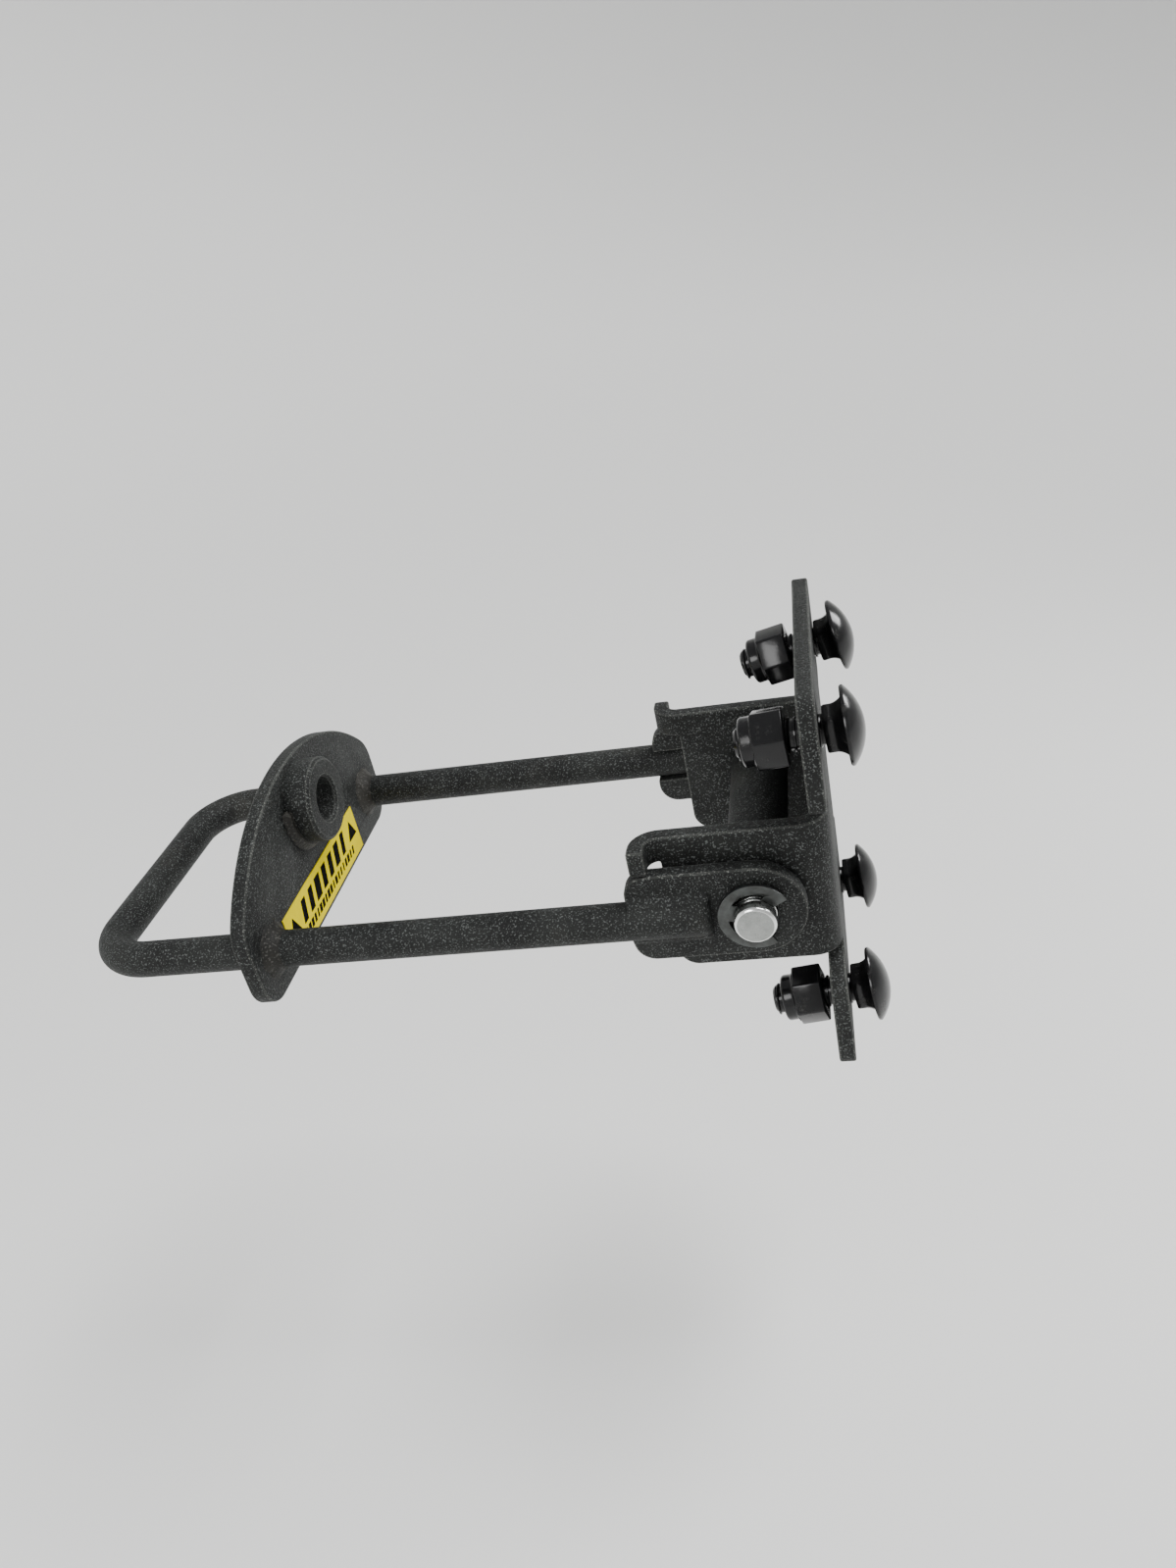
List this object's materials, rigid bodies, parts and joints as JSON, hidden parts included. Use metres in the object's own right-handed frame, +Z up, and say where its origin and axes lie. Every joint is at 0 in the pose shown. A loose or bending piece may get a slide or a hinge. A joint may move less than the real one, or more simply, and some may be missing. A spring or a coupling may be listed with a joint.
{
  "type": "hinged bail latch bracket",
  "caption": "Formed steel bracket with a swinging U-shaped bail on a pivot pin, and a D-shaped cross plate with a bored boss.",
  "frame": {"origin": "centre of the back plate's rear face, level with the pivot pin", "axes": "+X out of the rear face into the panel that the bracket is bolted to, +Y along the pivot pin, +Z up, with the stop lips above the straps"},
  "size_m": [0.2327, 0.113, 0.1164],
  "materials": {
    "textured_black": "fine sand-textured black powder coat",
    "coated_weld": "the same powder coat over weld beads",
    "gloss_black": "glossy black coated fasteners",
    "bright_zinc": "bright zinc plate, turned ends",
    "spring_steel": "dark phosphated spring steel",
    "nylon": "black nylon",
    "label_film": "yellow printed vinyl film"
  },
  "bodies": {
    "bracket": {"mount_bracket": "textured_black", "pivot_pin": "bright_zinc", "spacer_tube": "textured_black", "e_clip_right": "spring_steel", "e_clip_left": "spring_steel", "carriage_bolt_1": "gloss_black", "carriage_bolt_2": "gloss_black", "carriage_bolt_3": "gloss_black", "carriage_bolt_4": "gloss_black", "lock_nut_1": "gloss_black", "lock_nut_2": "gloss_black", "lock_nut_3": "gloss_black", "lock_nut_4": "gloss_black", "nylon_insert_1": "nylon", "nylon_insert_2": "nylon", "nylon_insert_3": "nylon", "nylon_insert_4": "nylon"},
    "bail": {"bail_rod": "textured_black", "strap_right": "textured_black", "strap_left": "textured_black", "strap_weld_right": "coated_weld", "strap_weld_left": "coated_weld", "cross_plate": "textured_black", "latch_boss": "textured_black", "boss_weld": "coated_weld", "rod_weld_right": "coated_weld", "rod_weld_left": "coated_weld", "face_label": "label_film"}
  },
  "joints": [
    {"name": "bail_swing", "type": "hinge", "parent": "bracket", "child": "bail", "pos_m": [-0.0211, 0, 0], "axis": [0, -1, 0], "range_deg": [0, 90]}
  ]
}
